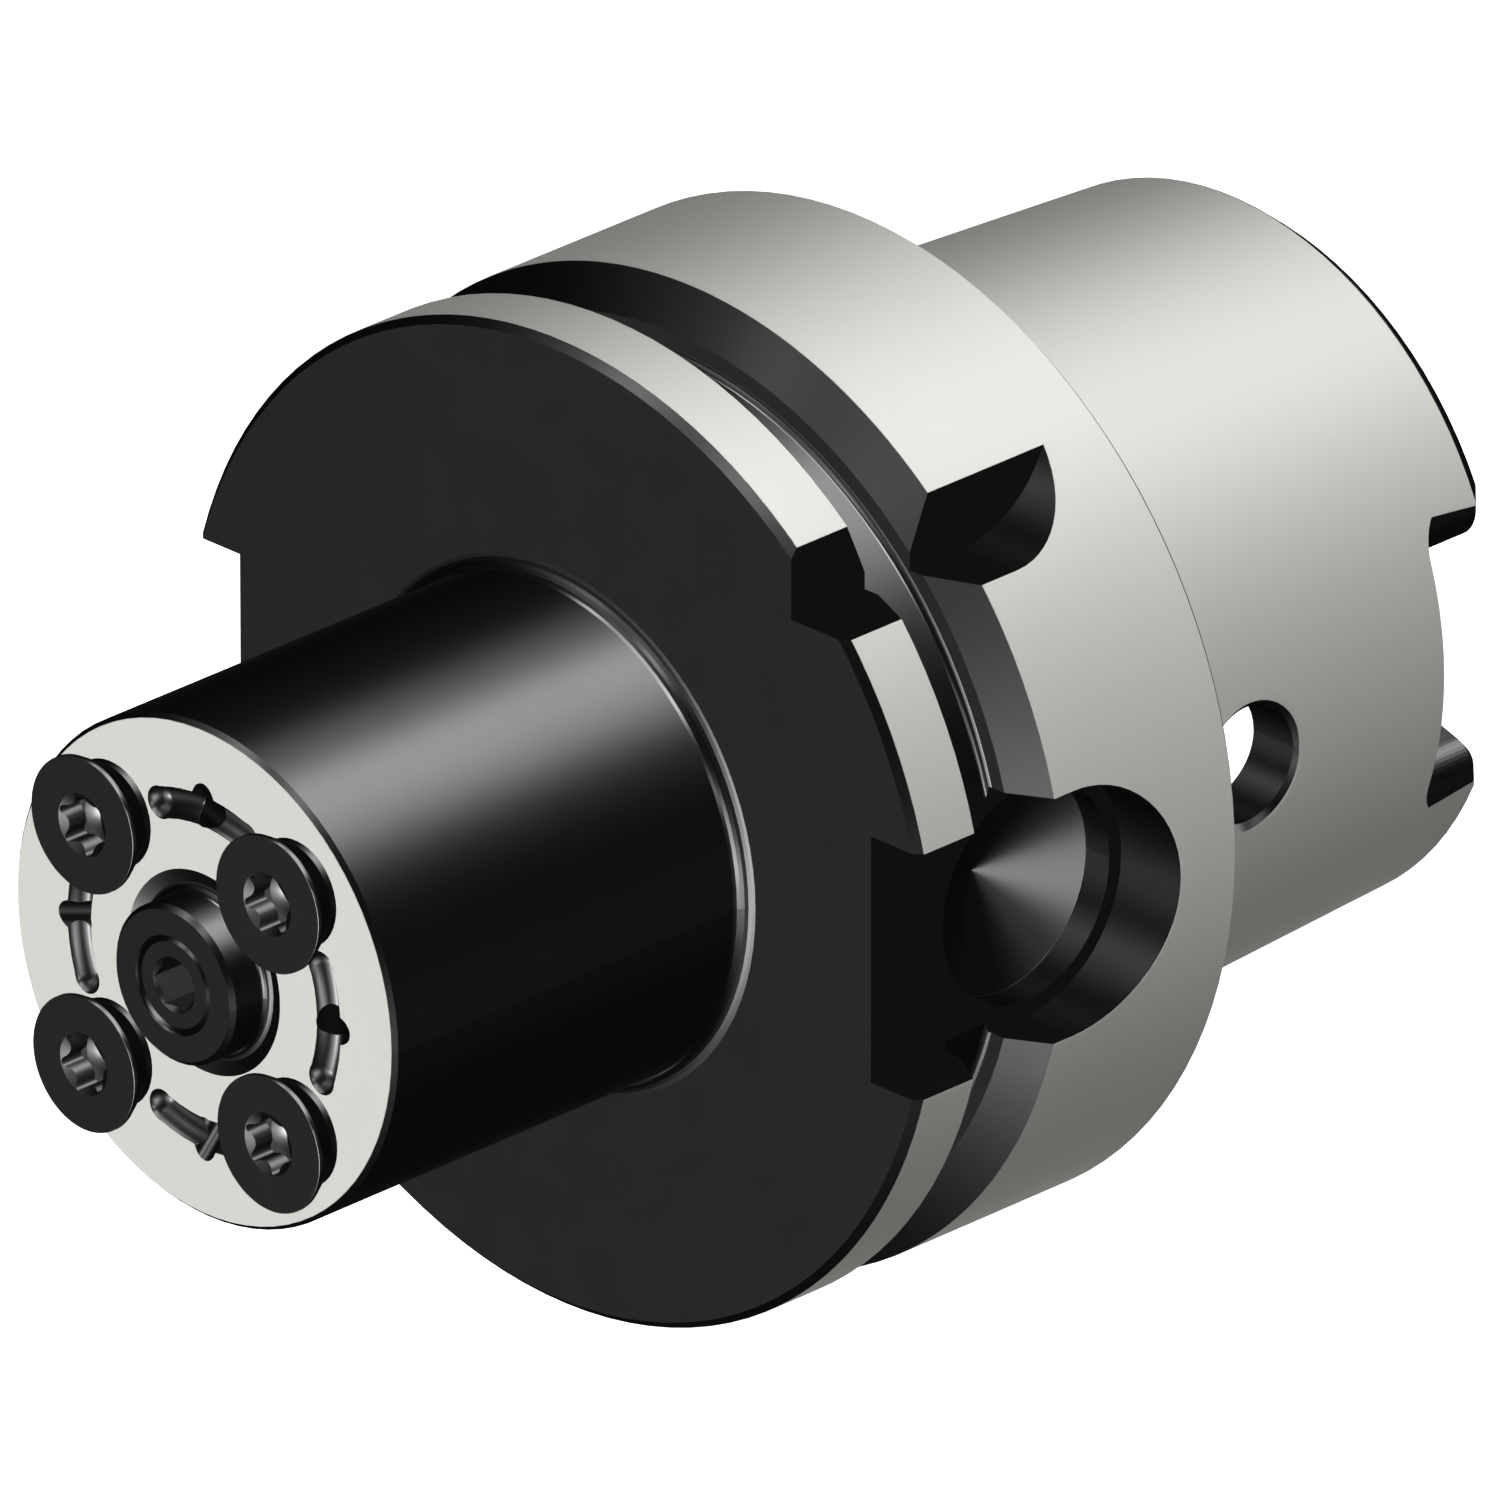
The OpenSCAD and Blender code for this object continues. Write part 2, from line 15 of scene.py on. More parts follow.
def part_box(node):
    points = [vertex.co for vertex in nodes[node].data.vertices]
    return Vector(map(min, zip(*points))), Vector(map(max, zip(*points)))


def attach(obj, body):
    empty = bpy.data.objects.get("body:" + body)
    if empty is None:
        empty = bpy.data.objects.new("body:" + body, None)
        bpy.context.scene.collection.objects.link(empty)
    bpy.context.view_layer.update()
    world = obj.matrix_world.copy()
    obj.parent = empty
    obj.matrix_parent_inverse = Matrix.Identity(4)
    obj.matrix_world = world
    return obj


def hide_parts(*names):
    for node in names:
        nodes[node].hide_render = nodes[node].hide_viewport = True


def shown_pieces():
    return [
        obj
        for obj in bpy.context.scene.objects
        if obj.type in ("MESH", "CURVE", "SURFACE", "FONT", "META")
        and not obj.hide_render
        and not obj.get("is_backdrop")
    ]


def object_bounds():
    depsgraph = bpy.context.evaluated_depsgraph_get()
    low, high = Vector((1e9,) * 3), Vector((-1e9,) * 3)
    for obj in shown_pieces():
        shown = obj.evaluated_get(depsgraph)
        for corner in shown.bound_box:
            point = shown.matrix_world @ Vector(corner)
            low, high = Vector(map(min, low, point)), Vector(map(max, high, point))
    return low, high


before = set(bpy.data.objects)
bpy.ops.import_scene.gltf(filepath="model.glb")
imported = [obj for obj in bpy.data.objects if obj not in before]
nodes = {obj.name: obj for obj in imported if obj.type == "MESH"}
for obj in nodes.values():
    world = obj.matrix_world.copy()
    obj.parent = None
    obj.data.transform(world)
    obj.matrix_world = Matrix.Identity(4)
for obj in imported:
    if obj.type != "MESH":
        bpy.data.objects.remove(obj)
cad_box = [list(corner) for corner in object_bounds()]
print("nodes:", sorted(nodes))
print("CAD box in mm:", [[round(1000 * x, 2) for x in corner] for corner in cad_box])

# %% [markdown]
# ## The camera
# The photograph looks along a line that makes equal angles with the tool axis and with the drive
# slots, from a little above, through a very long lens. The three directions below were found by
# fitting nine circles of the object. A long lens on a far camera keeps parallel edges parallel,
# as in a catalogue picture, while still being a real perspective.

# %% Aim the long lens
LOOK = Vector((-0.6409, -0.4226, -0.6409)).normalized()
RIGHT = Vector((0.7071, 0.0, -0.7071)).normalized()
UP = RIGHT.cross(LOOK)
AIM = Vector((0.0, 0.0, 0.00047))
LEFT_SHIFT, DOWN_SHIFT, DISTANCE = 0.006424, 0.003206, 2.703

lens = bpy.data.cameras.new("long_lens")
lens.sensor_width = 36.0
lens.lens = 1088.6
lens.clip_start, lens.clip_end = 0.1, 100.0
camera = bpy.data.objects.new("long_lens", lens)
turn = Matrix((RIGHT, UP, -LOOK)).transposed().to_4x4()
place = AIM - LEFT_SHIFT * RIGHT - DOWN_SHIFT * UP - DISTANCE * LOOK
camera.matrix_world = Matrix.Translation(place) @ turn
bpy.context.scene.collection.objects.link(camera)
bpy.context.scene.camera = camera
print("camera at", [round(x, 3) for x in place])

# %% [markdown]
# ## Shader arithmetic
# A finish is a formula over the surface: a mask times a colour, plus a little noise. Node trees
# hide such a formula in a web of links. The class below stands for one output of a node, so that
# plain Python sums and products add the Math nodes themselves.

# %% A value that varies over a surface
class Varies:
    """One output socket of a shader node, with the arithmetic of numbers."""

    def __init__(self, tree, socket):
        self.tree, self.socket = tree, socket

    def math(self, operation, *others):
        """A Math node on this value and others, in that order."""
        return node(self.tree, "ShaderNodeMath", {"operation": operation}, self, *others)

    def __add__(self, other):
        return self.math("ADD", other)

    def __sub__(self, other):
        return self.math("SUBTRACT", other)

    def __mul__(self, other):
        return self.math("MULTIPLY", other)

    def __truediv__(self, other):
        return self.math("DIVIDE", other)

    def __rsub__(self, other):
        return node(self.tree, "ShaderNodeMath", {"operation": "SUBTRACT"}, other, self)

    __radd__ = __add__
    __rmul__ = __mul__

    def above(self, limit, soft):
        """0 below the limit and 1 above it, with a soft step between.

        The formula is (value - limit) / soft + 1/2, held between 0 and 1.
        """
        return node(self.tree, "ShaderNodeMath", {"operation": "MULTIPLY_ADD", "use_clamp": True},
                    self, 1 / soft, 0.5 - limit / soft)


def node(tree, kind, settings, *values, out=0, **named):
    """Adds one node and returns one of its outputs.

    Its settings come first, then the values or links of its sockets, by place or by name.
    """
    made = tree.nodes.new(kind)
    for name, value in settings.items():
        setattr(made, name, value)
    slots = list(enumerate(values)) + [(name.replace("_", " "), v) for name, v in named.items()]
    for key, value in slots:
        if isinstance(value, Varies):
            tree.links.new(value.socket, made.inputs[key])
        else:
            made.inputs[key].default_value = value
    return Varies(tree, made.outputs[out])


print("shader arithmetic ready")

# %% [markdown]
# ## Tools for a finish
# Every finish below starts in the same way: an empty node tree with one Principled shader. Object
# coordinates are the metres of the CAD frame, so the distance r from the tool axis and the height
# z say on which turned face a point lies, and a mask is a question about r and z.

# %% Object coordinates, noise and an empty material
def position(tree):
    """Object coordinates as one vector, then x, y, z and the distance r from the tool axis."""
    xyz = node(tree, "ShaderNodeTexCoord", {}, out=3)
    split = node(tree, "ShaderNodeSeparateXYZ", {}, xyz)
    x, y, z = (Varies(tree, split.socket.node.outputs[i]) for i in range(3))
    return xyz, x, y, z, (x * x + y * y).math("SQRT")


def noise(tree, where, size, detail=2.0):
    """Cloudy noise from 0 to 1 whose lumps are about that size in metres."""
    return node(tree, "ShaderNodeTexNoise", {"noise_dimensions": "3D"}, Vector=where,
                Scale=1 / size, Detail=detail, Roughness=0.6)


def turned_marks(tree, z, r, pitch):
    """Fine rings about the axis: noise that varies fast along z and r and not at all round it."""
    where = node(tree, "ShaderNodeCombineXYZ", {}, r / pitch, z / pitch, 0.0)
    return node(tree, "ShaderNodeTexNoise", {"noise_dimensions": "2D"}, Vector=where,
                Scale=1.0, Detail=3.0, Roughness=0.7)


def new_material(name):
    """A material with an empty tree and one Principled shader joined to its output."""
    material = bpy.data.materials.new(name)
    material.use_nodes = True
    tree = material.node_tree
    tree.nodes.clear()
    shader = tree.nodes.new("ShaderNodeBsdfPrincipled")
    shader.distribution = "GGX"
    output = tree.nodes.new("ShaderNodeOutputMaterial")
    tree.links.new(shader.outputs[0], output.inputs[0])
    return material, tree, shader


def feed(tree, shader, **values):
    """Sets or links sockets of the shader by name."""
    for name, value in values.items():
        socket = shader.inputs[name.replace("_", " ")]
        if isinstance(value, Varies):
            tree.links.new(value.socket, socket)
        else:
            socket.default_value = value


def blend_colour(tree, factor, dark, bright):
    """A colour that goes from dark to bright as factor goes from 0 to 1."""
    mixed = tree.nodes.new("ShaderNodeMix")
    mixed.data_type = "RGBA"
    tree.links.new(factor.socket, mixed.inputs[0])
    for key, value in ((6, dark), (7, bright)):
        if isinstance(value, Varies):
            tree.links.new(value.socket, mixed.inputs[key])
        else:
            mixed.inputs[key].default_value = (*value, 1.0)
    return Varies(tree, mixed.outputs[2])


def relief(tree, height, depth):
    """A surface normal tilted by a height from 0 to 1 that stands for that depth in metres."""
    return node(tree, "ShaderNodeBump", {}, Height=height, Strength=1.0, Distance=depth)


def dress(finish, *names):
    """Gives CAD nodes this finish in place of the frame's own."""
    for name in names:
        nodes[name].data.materials.clear()
        nodes[name].data.materials.append(finish)


print("finish tools ready")

# %% [markdown]
# ## The body: black oxide and ground steel
# The whole body is hardened and blackened first. Then the faces that must be true are ground
# bright: the taper, the contact face behind the flange, the flange rim and the tool face. Black
# oxide is a thin dark skin that keeps the gloss of the steel under it. Grinding leaves a satin
# with fine marks that run round the axis. One material holds both, and a mask made of the ground
# faces' own sizes parts them, so the line between the two is as crisp as on the real piece.

# %% Where the body is ground
TAPER_R, TAPER_Z, TAPER_RUN = 0.024005, -0.0063, 9.98
TAPER_LOW, TAPER_TOP = -0.03087, -0.0016
CONTACT_R, RIM_R, BOSS_R, FACE_Z = 0.0258, 0.0315, 0.00641, 0.055
TAPER_SAG, RIM_SAG, CONTACT_SAG, FACE_SAG = 0.00008, 0.00004, 0.00003, 0.00002
SHARP = 0.00001


def ground_faces(z, r):
    """Masks, 0 to 1, of the taper, of the flange rim and of the two flat ground faces.

    The taper's radius is TAPER_R at TAPER_Z and grows by 1 for every 2 * TAPER_RUN along z.
    Each mask reaches inwards by a sag, because facets lie a little inside a round face.
    """
    taper_gap = r - (TAPER_R + (z - TAPER_Z) / (2 * TAPER_RUN))
    taper = (taper_gap.above(-TAPER_SAG, SHARP) * z.above(TAPER_LOW, SHARP)
             * (1 - z.above(TAPER_TOP, SHARP)))
    contact = (0 - z.math("ABSOLUTE")).above(-CONTACT_SAG, SHARP) * r.above(CONTACT_R, SHARP)
    rim = r.above(RIM_R - RIM_SAG, SHARP) * z.above(0.0, SHARP)
    face = z.above(FACE_Z - FACE_SAG, SHARP) * r.above(BOSS_R, SHARP)
    return taper, rim, contact.math("MAXIMUM", face)


print("ground taper from z", round(1000 * TAPER_LOW, 2), "to", round(1000 * TAPER_TOP, 2), "mm")

# %% [markdown]
# The solids are made of small facets, and the long thin ones beside the holes shade unevenly. A
# turned or drilled face has a normal that follows from its sizes alone: it points away from the
# axis and leans by the cone's half angle. The finish works that normal out on the taper, on the
# rim and in the drill point of the big blind hole. In the face grooves, which a ball cutter left,
# it points back to the middle of the ball. The facets' own normal stays everywhere else.

# %% Exact normals
DRILL_X, DRILL_Z, DRILL_SLOPE = 0.0219522, 0.013, math.tan(math.radians(20))
DRILL_R, DRILL_SAG = 0.00701, 0.00005
GROOVE_R, GROOVE_HALF, BALL_R = 0.0105, math.radians(20), 0.00106


def swap_normal(tree, where, normal, vector):
    """The normal, changed where the mask says so for a vector given in Object space."""
    unit = node(tree, "ShaderNodeVectorMath", {"operation": "NORMALIZE"}, vector)
    to_world = {"vector_type": "NORMAL", "convert_from": "OBJECT", "convert_to": "WORLD"}
    turned = node(tree, "ShaderNodeVectorTransform", to_world, unit)
    mixed = tree.nodes.new("ShaderNodeMix")
    mixed.data_type = "VECTOR"
    for key, value in ((0, where), (4, normal), (5, turned)):
        tree.links.new(value.socket, mixed.inputs[key])
    return Varies(tree, mixed.outputs[1])


def exact_normal(tree, x, y, z, r, taper, rim):
    """Turned faces: (x, y, -r / (2 * TAPER_RUN)) on the taper and (x, y, 0) on the rim.

    Drill point: (reach, -slope * y, -slope * height), with height above the hole's axis and
    reach the distance from it.
    """
    facets = node(tree, "ShaderNodeNewGeometry", {}, out=1)
    turned = node(tree, "ShaderNodeCombineXYZ", {}, x, y, taper * r * (-0.5 / TAPER_RUN))
    normal = swap_normal(tree, taper.math("MAXIMUM", rim), facets, turned)
    height = z - DRILL_Z
    reach = (y * y + height * height).math("SQRT")
    off_cone = ((x - DRILL_X) - reach * DRILL_SLOPE).math("ABSOLUTE")
    in_point = (0 - off_cone).above(-DRILL_SAG, SHARP) * (0 - reach).above(-DRILL_R, SHARP)
    drilled = node(tree, "ShaderNodeCombineXYZ", {},
                   reach, y * -DRILL_SLOPE, height * -DRILL_SLOPE)
    return swap_normal(tree, in_point, normal, drilled)


def groove_normal(tree, x, y, z, normal):
    """Face grooves: their mask, and the normal from the point to the ball's middle.

    The ball's middle runs on a circle in the tool face, along four arcs a quarter turn apart.
    Its angle is the point's own, held within GROOVE_HALF of the middle of the arc.
    """
    angle = y.math("ARCTAN2", x)
    quarter = (angle / (math.pi / 2)).math("ROUND") * (math.pi / 2)
    held = (angle - quarter).math("MINIMUM", GROOVE_HALF).math("MAXIMUM", -GROOVE_HALF) + quarter
    to_x = held.math("COSINE") * GROOVE_R - x
    to_y = held.math("SINE") * GROOVE_R - y
    to_z = FACE_Z - z
    away = (to_x * to_x + to_y * to_y + to_z * to_z).math("SQRT")
    in_groove = (0 - away).above(-BALL_R, SHARP) * to_z.above(SHARP, SHARP)
    to_ball = node(tree, "ShaderNodeCombineXYZ", {}, to_x, to_y, to_z)
    return in_groove, swap_normal(tree, in_groove, normal, to_ball)


print("exact normals ready")

# %% [markdown]
# Colour and roughness are then mixed by the same masks. The oxide has a slow mottle and a fine
# grain, the ground steel has its marks, and the milled grooves in the face are a little rougher
# and carry painted shade: their oxide is darkened where the groove walls would shade it.

# %% The body's two finishes in one material
GROUND_DARK, GROUND_BRIGHT = (0.698, 0.706, 0.662), (0.726, 0.734, 0.688)
OXIDE_DARK, OXIDE_BRIGHT = (0.104, 0.104, 0.104), (0.116, 0.116, 0.116)
OXIDE_EDGE = (0.4, 0.4, 0.4, 1.0)
# The darker groove oxide is painted shade for the face grooves; the extra roughness is the
# milling.
GROOVE_PAINTED_SHADE, MILLED_ROUGH = (0.082, 0.082, 0.082), 0.12
MARK_PITCH, MOTTLE_SIZE, GRAIN_SIZE = 0.00011, 0.0035, 0.00012

body_finish, tree, shader = new_material("blackened_and_ground_steel")
xyz, x, y, z, r = position(tree)
taper, rim, flats = ground_faces(z, r)
ground = taper.math("MAXIMUM", rim).math("MAXIMUM", flats)
marks = turned_marks(tree, z, r, MARK_PITCH)
mottle = noise(tree, xyz, MOTTLE_SIZE)
grain = noise(tree, xyz, GRAIN_SIZE)
milled_and_shaded, normal = groove_normal(tree, x, y, z, exact_normal(tree, x, y, z, r, taper, rim))
oxide = blend_colour(tree, 0.6 * mottle + 0.4 * grain, OXIDE_DARK, OXIDE_BRIGHT)
# Painted shade: the oxide is darkened inside the face grooves.
oxide = blend_colour(tree, milled_and_shaded, oxide, GROOVE_PAINTED_SHADE)
oxide_rough = 0.145 + 0.02 * mottle + 0.015 * grain + MILLED_ROUGH * milled_and_shaded
bright = blend_colour(tree, 0.7 * marks + 0.3 * mottle, GROUND_DARK, GROUND_BRIGHT)
ground_rough = 0.57 + 0.06 * marks
feed(tree, shader, Metallic=1.0, Specular_Tint=OXIDE_EDGE,
     Base_Color=blend_colour(tree, ground, oxide, bright), Normal=normal,
     Roughness=ground * ground_rough + (1 - ground) * oxide_rough)
dress(body_finish, "adapter_body")
print("body finish:", len(tree.nodes), "nodes")

# %% [markdown]
# ## The small steel pieces
# The screws, the plug and the nut are turned from alloy steel and blackened, with rings left by
# the facing tool. The coolant tube is stainless steel with the soft gloss of a turned piece. Both
# are the same recipe with other numbers, so one function makes them. The screws use it too,
# further down, with a duller socket.

# %% A turned steel
def turned_steel(name, centre, dark, bright, rough, pitch, socket_r=0.0, **constants):
    """Turned steel: rings of the tool about an upright line through centre, over a slow mottle.

    Within socket_r of that line the steel is pressed, not turned, and a little rougher.
    """
    finish, tree, shader = new_material(name)
    xyz, x, y, z, _ = position(tree)
    to_x, to_y = x - centre[0], y - centre[1]
    away = (to_x * to_x + to_y * to_y).math("SQRT")
    rings = turned_marks(tree, z, away, pitch)
    pressed = 1 - away.above(socket_r, SHARP)
    mottle = noise(tree, xyz, 0.002)
    feed(tree, shader, Metallic=1.0,
         Base_Color=blend_colour(tree, 0.5 * rings + 0.5 * mottle, dark, bright),
         Roughness=rough + 0.03 * rings + 0.02 * mottle + MILLED_ROUGH * pressed,
         Normal=relief(tree, rings, 2e-7), **constants)
    return finish


AXIS = (0.0, 0.0)
dress(turned_steel("nut_oxide", AXIS, (0.14, 0.14, 0.14), (0.17, 0.17, 0.17),
                   rough=0.2, pitch=0.0001, Specular_Tint=OXIDE_EDGE), "coolant_nut")
dress(turned_steel("tube_stainless", AXIS, (0.56, 0.555, 0.535), (0.62, 0.615, 0.595),
                   rough=0.26, pitch=0.00013), "coolant_tube")
print("nut and tube dressed")

# %% [markdown]
# ## Rubber
# The tube floats on two rubber rings. Nitrile rubber is almost black, and its skin is matt with a
# faint mould grain, which a fine bump and an uneven roughness give.

# %% The two sealing rings
rubber, tree, shader = new_material("seal_rubber")
xyz = position(tree)[0]
pores, bloom = noise(tree, xyz, 0.00006, 3.0), noise(tree, xyz, 0.0015)
feed(tree, shader, Metallic=0.0, Roughness=0.6 + 0.2 * bloom,
     Base_Color=blend_colour(tree, bloom, (0.016, 0.016, 0.017), (0.03, 0.03, 0.031)),
     Normal=relief(tree, pores, 3e-6))
dress(rubber, "front_seal_ring", "rear_seal_ring")
print("rings dressed")

# %% [markdown]
# ## Screws
# A screw is a turned blank with a thread rolled on it and a socket pressed into its head. All of
# it is one skin that runs from the pole at the tip, up the thread, over the rim, down the socket
# and back to the axis. Stacking rings of points gives that skin as a grid of two parameters, ring
# and column. The columns follow the socket's outline, so its round lobes stay smooth, and outside
# the socket each ring is a plain circle. A modelled thread and a real socket beat a bump map here,
# because both show at the outline.

# %% Outlines of the two sockets, in millimetres
def arc_points(centre, radius, start, end, steps):
    """Points of an arc: centre + radius * (cos, sin) of angles from start up to, not with, end."""
    angle = start + (end - start) * np.arange(steps) / steps
    return centre[0] + radius * np.cos(angle), centre[1] + radius * np.sin(angle)


def six_lobes(outer_d, inner_d, end_r):
    """Angle and radius of a six-lobe outline.

    A lobe's round end and the hollow beside it are circles that touch. The hollow's radius
    follows from the triangle of the two centres and the axis.
    """
    half, lobe_c, inner = math.pi / 6, outer_d / 2 - end_r, inner_d / 2
    hollow_r = ((lobe_c ** 2 + inner ** 2 - 2 * lobe_c * inner * math.cos(half) - end_r ** 2)
                / (2 * (end_r - inner + lobe_c * math.cos(half))))
    hollow = ((inner + hollow_r) * math.cos(half), (inner + hollow_r) * math.sin(half))
    side = math.atan2(hollow[1], hollow[0] - lobe_c)
    x1, y1 = arc_points((lobe_c, 0.0), end_r, -side, side, 14)
    x2, y2 = arc_points(hollow, hollow_r, math.pi + side, math.pi + 2 * half - side, 10)
    lobe = np.concatenate([x1, x2]) + 1j * np.concatenate([y1, y2])
    outline = (lobe * np.exp(2j * half * np.arange(6))[:, None]).ravel()
    return np.unwrap(np.angle(outline)), np.abs(outline)


def hexagon(across_flats):
    """Angle and radius of a hexagon: half the width over the cosine of the angle off the flat."""
    angle = np.arange(144) * math.pi / 72
    off_flat = np.mod(angle, math.pi / 3) - math.pi / 6
    return angle, across_flats / 2 / np.cos(off_flat)


LOBES = six_lobes(3.92, 2.86, 0.33)
HEXAGON = hexagon(3.0)
print("outline columns:", len(LOBES[0]), len(HEXAGON[0]))

# %% [markdown]
# The rings come from three functions: one for the thread, one for plain turned parts and one for
# the socket. Each gives two grids, of radius and of height, with one row for each ring. A fourth
# puts the threaded end together, which the clamp screws and the plug have alike.

# %% Rings of a screw's skin
THREAD_R, TIP_R, THREAD_DEPTH, RINGS_PER_PITCH = 3.0, 2.4, 0.61, 12
SOCKET_LIP, PILOT_GAP = 0.03, 0.01


def thread_rings(low, high, pitch, angle):
    """Rings of a rolled thread: THREAD_R less a flattened triangle wave of z / pitch - turn.

    The triangle is stretched by 1.6 and cut at both ends, which leaves the flats of crest and
    root. The wave is 0 on the crest and THREAD_DEPTH of a pitch at the root, and it fades out
    over one pitch at both ends, so that the thread runs out into the blank.
    """
    z = np.linspace(low, high, int((high - low) / pitch * RINGS_PER_PITCH) + 1)[:, None]
    phase = np.mod(z / pitch - angle / (2 * math.pi), 1.0)
    wave = np.clip(1.6 * (0.5 - np.abs(phase - 0.5)) - 0.1, 0.0, 0.6) / 0.6
    fade = np.clip(np.minimum(z - low, high - z) / pitch, 0.0, 1.0)
    rings = THREAD_R - THREAD_DEPTH * pitch * wave * fade
    return rings, np.broadcast_to(z, rings.shape)


def plain_rings(profile, angle):
    """Circles from a list of (radius, z) corners."""
    corners = np.array(profile)[:, :, None] + 0 * angle
    return corners[:, 0], corners[:, 1]


def threaded_end(length, top, pitch, angle):
    """Two groups of rings: the flat tip with its chamfer, then the thread from there to top."""
    chamfer, gap = THREAD_R - TIP_R, 0.02
    tip = [(0, -length), (TIP_R, -length), (THREAD_R - gap, chamfer - gap - length)]
    return [plain_rings(tip, angle), thread_rings(chamfer - length, top, pitch, angle)]


def socket_rings(outline, top, slope, depth, pilot_r, point):
    """Rings of a socket: from the entry cone down the outline to a flat and a drilled point.

    The entry cone meets the outline at top - slope * (entry radius - outline radius).
    """
    entry_r = outline.max() + SOCKET_LIP
    pilot = np.minimum(outline - PILOT_GAP, pilot_r)
    radius = np.stack([0 * outline + entry_r, outline, outline, outline, pilot])
    mouth = top - slope * (entry_r - outline)
    floor = 0 * outline + top - depth
    z = np.stack([0 * outline + top, mouth, (mouth + floor) / 2, floor, floor])
    pole = np.stack([0 * outline, floor[0] - point + 0 * outline])
    return np.vstack([radius, pole[:1]]), np.vstack([z, pole[1:]])


print("ring functions ready")

# %% [markdown]
# Neighbouring rings are then joined by four-sided faces, and the first and last ring by triangles
# to a pole. Edges sharper than 20 degrees stay sharp, and all others are smooth.

# %% From rings to a mesh
def skin(name, angle, rings, centre, turn):
    """A closed skin from rings of radius and z in mm: x, y = radius * (cos, sin) of angle + turn.

    The first and last ring shrink to one point each, the poles.
    """
    radius, z = (np.vstack(part)[1:-1] for part in zip(*rings))
    rows, cols = radius.shape
    grid = np.stack([centre[0] + radius * np.cos(angle + turn),
                     centre[1] + radius * np.sin(angle + turn), centre[2] + z], axis=2)
    ends = centre[2] + rings[0][1][0, 0], centre[2] + rings[-1][1][-1, 0]
    poles = [[*centre[:2], end] for end in ends]
    points = np.vstack([grid.reshape(-1, 3), poles]) / 1000
    at = np.arange(rows * cols).reshape(rows, cols)
    beside = np.roll(at, -1, axis=1)
    walls = np.stack([at[:-1], beside[:-1], beside[1:], at[1:]], axis=2).reshape(-1, 4)
    low = np.stack([beside[0], at[0], 0 * at[0] + rows * cols], axis=1)
    high = np.stack([at[-1], beside[-1], 0 * at[0] + rows * cols + 1], axis=1)
    mesh = bpy.data.meshes.new(name)
    mesh.from_pydata(points, [], walls.tolist() + low.tolist() + high.tolist())
    mesh.polygons.foreach_set("use_smooth", np.ones(len(mesh.polygons), bool))
    mesh.set_sharp_from_angle(angle=math.radians(20))
    mesh.validate()
    piece = bpy.data.objects.new(name, mesh)
    bpy.context.scene.collection.objects.link(piece)
    return piece


def facing_oxide(name, centre, socket_r):
    """Black oxide with facing rings about the screw's own axis."""
    return turned_steel(name, (centre[0] / 1000, centre[1] / 1000), OXIDE_DARK, OXIDE_BRIGHT,
                        rough=0.14, pitch=0.00009, socket_r=socket_r, Specular_Tint=OXIDE_EDGE)


print("skin function ready")

# %% [markdown]
# ## The four clamp screws
# Each one has a thin round rim, a cone under it that pulls a tool head down onto the face, and a
# six-lobe socket with a shallow entry cone. The sizes are the solids' own. The edge of the rim is
# broken by a few hundredths of a millimetre, which is what catches the light on a real screw.

# %% Clamp screws
CLAMP_TOP, CLAMP_RIM, CLAMP_HEAD, CLAMP_NECK = 2.35, 2.05, 4.3, 3.35
CLAMP_CIRCLE, CLAMP_SEAT, CLAMP_SOCKET_R = 11, 55.0, 0.00199
CLAMP_LENGTH, NECK_FOOT = 14, -3
CONE_FOOT = CLAMP_RIM - (CLAMP_HEAD - CLAMP_NECK) / math.tan(math.radians(30))
EDGE = 0.03
ROUNDED = EDGE * (1 - np.sin(np.radians((0, 30, 60, 90))))
HEAD_EDGE = [(CLAMP_HEAD, CLAMP_RIM + 0.01)]
HEAD_EDGE += list(zip(CLAMP_HEAD - ROUNDED[::-1], CLAMP_TOP - ROUNDED))
HEAD_EDGE += [(CLAMP_HEAD - 2 * EDGE, CLAMP_TOP)]

for number in range(4):
    where = math.radians(45 + 90 * number)
    centre = (CLAMP_CIRCLE * math.cos(where), CLAMP_CIRCLE * math.sin(where), CLAMP_SEAT)
    angle, outline = LOBES
    head = [(THREAD_R, NECK_FOOT), (CLAMP_NECK, NECK_FOOT), (CLAMP_NECK, CONE_FOOT),
            (CLAMP_HEAD, CLAMP_RIM)] + HEAD_EDGE
    rings = threaded_end(CLAMP_LENGTH, NECK_FOOT - 0.05, 1.0, angle) + [
        plain_rings(head, angle),
        socket_rings(outline, CLAMP_TOP, slope=0.5, depth=1.65, pilot_r=1.43, point=0.83),
    ]
    screw = skin(f"clamp_screw_skin_{number + 1}", angle, rings, centre, where + math.radians(30))
    finish = facing_oxide(f"clamp_oxide_{number + 1}", centre, CLAMP_SOCKET_R)
    screw.data.materials.append(finish)
    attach(screw, f"screw_{number + 1}")
    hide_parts(f"clamp_screw_{number + 1}")
    print(screw.name, len(screw.data.polygons), "faces")

# %% [markdown]
# ## The plug
# A headless screw with a hexagon socket closes the coolant bore inside the boss. It is the same
# skin with another outline and a steeper entry cone.

